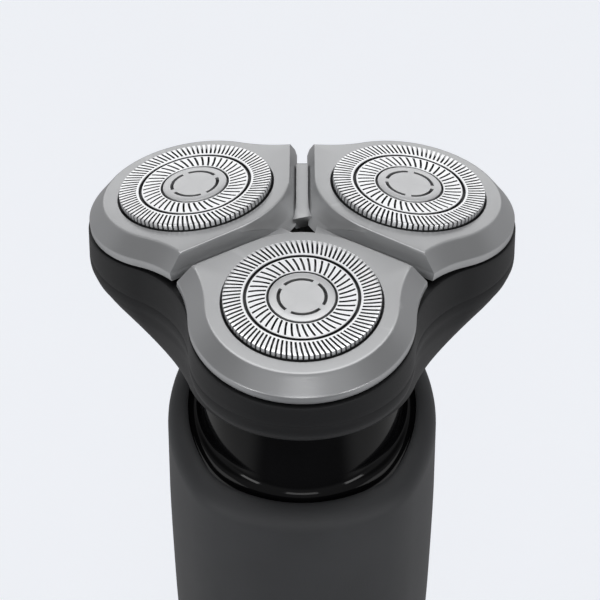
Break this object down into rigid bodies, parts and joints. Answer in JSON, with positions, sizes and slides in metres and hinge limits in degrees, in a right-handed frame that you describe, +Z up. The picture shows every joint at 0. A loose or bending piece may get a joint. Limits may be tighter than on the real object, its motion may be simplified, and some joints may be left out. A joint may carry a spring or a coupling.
{
  "type": "rotary electric shaver",
  "caption": "Cordless rotary shaver with tilting cutting units on a pull-off trefoil head, a gloss neck and a soft grip handle.",
  "frame": {"origin": "centre of the flat foot that the shaver stands on", "axes": "+Z up the handle to the head, -Y towards the power button and the front cutting unit"},
  "size_m": [0.0644, 0.0601, 0.1598],
  "materials": {
    "petal": "satin silver lacquer",
    "foil_steel": "fine brushed",
    "trim": "satin",
    "cutter_steel": "ground",
    "carrier": "moulded",
    "gear": "moulded acetal",
    "pin_steel": "turned",
    "head_dark": "fine matt texture",
    "inner_dark": "moulded",
    "bush_brass": "turned",
    "gloss_black": "high gloss",
    "grip": "soft-touch",
    "button": "satin metallised",
    "bezel": "satin chrome",
    "lens": "translucent",
    "motor_steel": "plated",
    "cell_wrap": "shrink film",
    "nickel": "nickel strip",
    "board": "solder mask",
    "seal": "moulded",
    "screw_steel": "blackened"
  },
  "bodies": {
    "handle": {"handle_shell": "grip", "neck_collar": "gloss_black", "latch_ring": "pin_steel", "foot_plate": "head_dark", "bottom_cap": "head_dark", "bottom_seal": "seal", "cap_screws": "screw_steel", "button_bezel": "bezel", "indicator_lens": "lens", "chassis": "inner_dark", "motor_case": "motor_steel", "motor_screws": "screw_steel", "shaft_seal": "seal", "battery_cell": "cell_wrap", "battery_tabs": "nickel", "circuit_board": "board", "tact_switch": "inner_dark", "charge_port": "nickel", "charge_board": "board", "port_bezel": "gloss_black"},
    "drive": {"motor_rotor": "pin_steel", "drive_coupler": "carrier"},
    "button": {"power_button": "button"},
    "head": {"head_base": "head_dark", "divider": "petal", "gearbox_plate": "inner_dark", "gearbox_cover": "inner_dark", "pivot_pins": "pin_steel", "gearbox_bushes": "bush_brass", "head_screws": "screw_steel"},
    "sun": {"sun_gear": "gear", "coupling_socket": "carrier"},
    "petal_front": {"petal_front": "petal", "foil_front": "foil_steel", "foil_trim_front": "trim", "retainer_front": "carrier"},
    "cutter_front": {"cutter_front": "cutter_steel", "cutter_carrier_front": "carrier"},
    "spindle_front": {"spindle_front": "pin_steel", "planet_gear_front": "gear"},
    "petal_right": {"petal_right": "petal", "foil_right": "foil_steel", "foil_trim_right": "trim", "retainer_right": "carrier"},
    "cutter_right": {"cutter_right": "cutter_steel", "cutter_carrier_right": "carrier"},
    "spindle_right": {"spindle_right": "pin_steel", "planet_gear_right": "gear"},
    "petal_left": {"petal_left": "petal", "foil_left": "foil_steel", "foil_trim_left": "trim", "retainer_left": "carrier"},
    "cutter_left": {"cutter_left": "cutter_steel", "cutter_carrier_left": "carrier"},
    "spindle_left": {"spindle_left": "pin_steel", "planet_gear_left": "gear"}
  },
  "joints": [
    {"name": "head_pull", "type": "slide", "parent": "handle", "child": "head", "axis": [0, 0, 1], "range_m": [0, 0.022]},
    {"name": "power_press", "type": "slide", "parent": "handle", "child": "button", "axis": [0, 1, 0], "range_m": [0, 0.0006], "stiffness_N_per_m": 2000, "springref_m": -0.0002},
    {"name": "drive_spin", "type": "hinge", "parent": "handle", "child": "drive", "pos_m": [0, 0, 0.1], "axis": [0, 0, 1], "continuous": true},
    {"name": "sun_spin", "type": "hinge", "parent": "head", "child": "sun", "pos_m": [0, 0, 0.14], "axis": [0, 0, 1], "continuous": true},
    {"name": "spindle_front_spin", "type": "hinge", "parent": "head", "child": "spindle_front", "pos_m": [0, -0.01761, 0.146], "axis": [0, 0, 1], "continuous": true},
    {"name": "petal_front_tilt", "type": "hinge", "parent": "head", "child": "petal_front", "pos_m": [0, -0.01761, 0.15207], "axis": [-1, 0, 0], "range_deg": [0, 4], "stiffness_Nm_per_rad": 0.1, "springref_deg": -1.72},
    {"name": "cutter_front_spin", "type": "hinge", "parent": "petal_front", "child": "cutter_front", "pos_m": [0, -0.01855, 0.158], "axis": [0, -0.1564, 0.9877], "continuous": true},
    {"name": "spindle_right_spin", "type": "hinge", "parent": "head", "child": "spindle_right", "pos_m": [0.01525, 0.00881, 0.146], "axis": [0, 0, 1], "continuous": true},
    {"name": "petal_right_tilt", "type": "hinge", "parent": "head", "child": "petal_right", "pos_m": [0.01525, 0.00881, 0.15207], "axis": [0.5, -0.866, 0], "range_deg": [0, 4], "stiffness_Nm_per_rad": 0.1, "springref_deg": -1.72},
    {"name": "cutter_right_spin", "type": "hinge", "parent": "petal_right", "child": "cutter_right", "pos_m": [0.01606, 0.00927, 0.158], "axis": [0.1355, 0.0782, 0.9877], "continuous": true},
    {"name": "spindle_left_spin", "type": "hinge", "parent": "head", "child": "spindle_left", "pos_m": [-0.01525, 0.00881, 0.146], "axis": [0, 0, 1], "continuous": true},
    {"name": "petal_left_tilt", "type": "hinge", "parent": "head", "child": "petal_left", "pos_m": [-0.01525, 0.00881, 0.15207], "axis": [0.5, 0.866, 0], "range_deg": [0, 4], "stiffness_Nm_per_rad": 0.1, "springref_deg": -1.72},
    {"name": "cutter_left_spin", "type": "hinge", "parent": "petal_left", "child": "cutter_left", "pos_m": [-0.01606, 0.00927, 0.158], "axis": [-0.1355, 0.0782, 0.9877], "continuous": true}
  ],
  "couplings": [
    {"joint": "sun_spin", "follows": "drive_spin", "ratio": 1},
    {"joint": "spindle_front_spin", "follows": "drive_spin", "ratio": -0.57143},
    {"joint": "cutter_front_spin", "follows": "drive_spin", "ratio": -0.57143},
    {"joint": "spindle_right_spin", "follows": "drive_spin", "ratio": -0.57143},
    {"joint": "cutter_right_spin", "follows": "drive_spin", "ratio": -0.57143},
    {"joint": "spindle_left_spin", "follows": "drive_spin", "ratio": -0.57143},
    {"joint": "cutter_left_spin", "follows": "drive_spin", "ratio": -0.57143}
  ]
}
